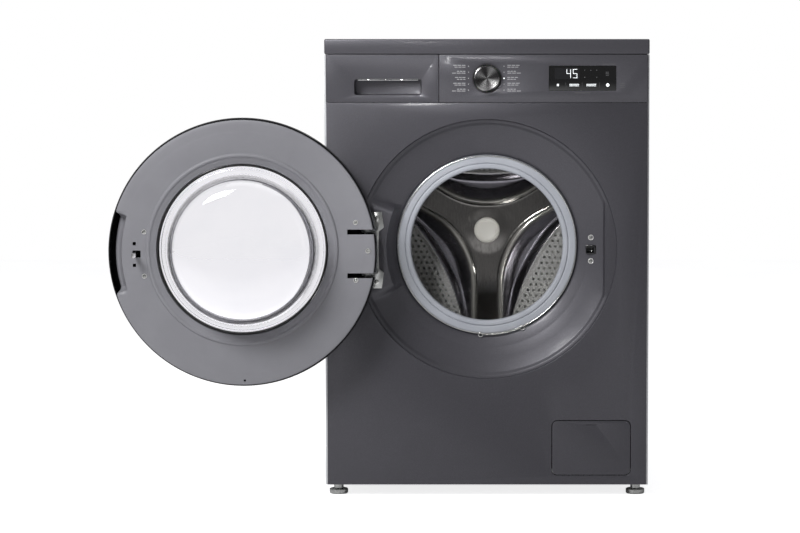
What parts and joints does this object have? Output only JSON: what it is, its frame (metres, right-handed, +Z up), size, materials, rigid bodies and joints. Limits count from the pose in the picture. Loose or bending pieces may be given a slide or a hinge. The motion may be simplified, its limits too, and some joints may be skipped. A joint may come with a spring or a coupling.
{
  "type": "front load washing machine",
  "caption": "Free-standing front load washing machine with a round glass door, a recessed front panel, a detergent drawer, a programme knob and a tub on springs.",
  "frame": {"origin": "on the floor, under the middle of the bounding box with the door fully open, 196 mm left of the cabinet's centre plane", "axes": "+Z up, +X to the machine's right as seen from the front, +Y from the front to the back"},
  "size_m": [0.992, 0.737, 0.85],
  "materials": {
    "graphite_paint": "satin metallic graphite paint",
    "graphite_plastic": "moulded plastic in satin metallic graphite paint",
    "laminate_board": "graphite laminate on particle board",
    "silver_paint": "silver coated sheet",
    "dark_plastic": "fine moulded texture",
    "grey_plastic": "satin moulded",
    "black_plastic": "gloss black moulded",
    "white_plastic": "natural moulded",
    "grey_rubber": "matte grey rubber",
    "black_rubber": "matte black rubber",
    "clear_glass": "clear pressed glass",
    "black_glass": "polished black window",
    "stainless_steel": "brushed stainless steel",
    "zinc_steel": "zinc plated steel",
    "chrome": "bright plated",
    "cast_aluminium": "raw die casting",
    "counterweight": "rough cast",
    "circuit_board": "lacquered board",
    "copper_windings": "enamelled windings"
  },
  "bodies": {
    "cabinet": {"cabinet_shell": "silver_paint", "base_pan": "zinc_steel", "rear_panel": "silver_paint", "worktop_frame": "graphite_plastic", "worktop_board": "laminate_board", "front_panel": "graphite_paint", "control_fascia": "graphite_plastic", "display_window": "black_glass", "control_board": "circuit_board", "dispenser_housing": "white_plastic", "dispenser_hose": "black_rubber", "inlet_valve": "white_plastic", "hinge_bracket": "zinc_steel", "door_lock": "black_plastic", "gasket": "grey_rubber", "gasket_clamp": "zinc_steel", "spring_left": "zinc_steel", "spring_right": "zinc_steel", "damper_cylinder_left": "zinc_steel", "damper_cylinder_right": "zinc_steel", "drain_pump": "white_plastic", "sump_hose": "black_rubber", "drain_outlet": "white_plastic", "cord_gland": "black_plastic"},
    "tub": {"tub_front": "white_plastic", "tub_rear": "white_plastic", "upper_counterweight": "counterweight", "lower_counterweight": "counterweight", "stator": "copper_windings", "heater": "zinc_steel", "front_bearing": "zinc_steel", "rear_bearing": "zinc_steel", "damper_rod_left": "black_plastic", "damper_rod_right": "black_plastic"},
    "drum": {"drum_shell": "stainless_steel", "drum_back": "stainless_steel", "hub_cap": "grey_plastic", "spider": "cast_aluminium", "drum_shaft": "zinc_steel", "lifter_1": "grey_plastic", "lifter_2": "grey_plastic", "lifter_3": "grey_plastic", "rotor": "zinc_steel", "rotor_nut": "zinc_steel"},
    "door": {"door_outer_frame": "black_plastic", "door_inner_frame": "grey_plastic", "door_glass": "clear_glass", "glass_seal": "black_rubber", "hinge_pin": "zinc_steel"},
    "door_hook": {"door_hook": "zinc_steel"},
    "drawer": {"drawer_front": "graphite_plastic", "detergent_drawer": "white_plastic", "drawer_trim": "chrome"},
    "knob": {"programme_knob": "stainless_steel"},
    "flap": {"service_flap": "graphite_paint"},
    "filter_cap": {"filter_cap": "dark_plastic"},
    "foot_front_left": {"levelling_foot_front_left": "zinc_steel"},
    "foot_front_right": {"levelling_foot_front_right": "zinc_steel"},
    "foot_rear_left": {"levelling_foot_rear_left": "zinc_steel"},
    "foot_rear_right": {"levelling_foot_rear_right": "zinc_steel"}
  },
  "joints": [
    {"name": "tub_bounce", "type": "slide", "parent": "cabinet", "child": "tub", "axis": [0, 0, 1], "range_m": [-0.008, 0.008], "stiffness_N_per_m": 40000, "springref_m": 0.011, "deforming": ["spring_left", "spring_right", "gasket", "dispenser_hose", "sump_hose"]},
    {"name": "drum_spin", "type": "hinge", "parent": "tub", "child": "drum", "pos_m": [0.196, 0.0735, 0.467], "axis": [0, 1, 0], "continuous": true},
    {"name": "door_swing", "type": "hinge", "parent": "cabinet", "child": "door", "pos_m": [-0.027, -0.2465, 0.461], "axis": [0, 0, 1], "range_deg": [0, 180]},
    {"name": "hook_tilt", "type": "hinge", "parent": "door", "child": "door_hook", "pos_m": [-0.4435, -0.2785, 0.459], "axis": [0, 0, 1], "range_deg": [0, 4], "stiffness_Nm_per_rad": 0.3},
    {"name": "drawer_slide", "type": "slide", "parent": "cabinet", "child": "drawer", "axis": [0, -1, 0], "range_m": [0, 0.22]},
    {"name": "knob_turn", "type": "hinge", "parent": "cabinet", "child": "knob", "pos_m": [0.196, -0.2065, 0.7777], "axis": [0, 1, 0], "continuous": true},
    {"name": "flap_fold", "type": "hinge", "parent": "cabinet", "child": "flap", "pos_m": [0.39, -0.2053, 0.0412], "axis": [1, 0, 0], "range_deg": [0, 75]},
    {"name": "filter_cap_turn", "type": "hinge", "parent": "cabinet", "child": "filter_cap", "pos_m": [0.39, -0.1865, 0.09], "axis": [0, -1, 0], "range_deg": [0, 180]},
    {"name": "foot_front_left_turn", "type": "hinge", "parent": "cabinet", "child": "foot_front_left", "pos_m": [-0.082, -0.1715, 0], "axis": [0, 0, 1], "continuous": true},
    {"name": "foot_front_right_turn", "type": "hinge", "parent": "cabinet", "child": "foot_front_right", "pos_m": [0.474, -0.1715, 0], "axis": [0, 0, 1], "continuous": true},
    {"name": "foot_rear_left_turn", "type": "hinge", "parent": "cabinet", "child": "foot_rear_left", "pos_m": [-0.082, 0.3185, 0], "axis": [0, 0, 1], "continuous": true},
    {"name": "foot_rear_right_turn", "type": "hinge", "parent": "cabinet", "child": "foot_rear_right", "pos_m": [0.474, 0.3185, 0], "axis": [0, 0, 1], "continuous": true}
  ]
}
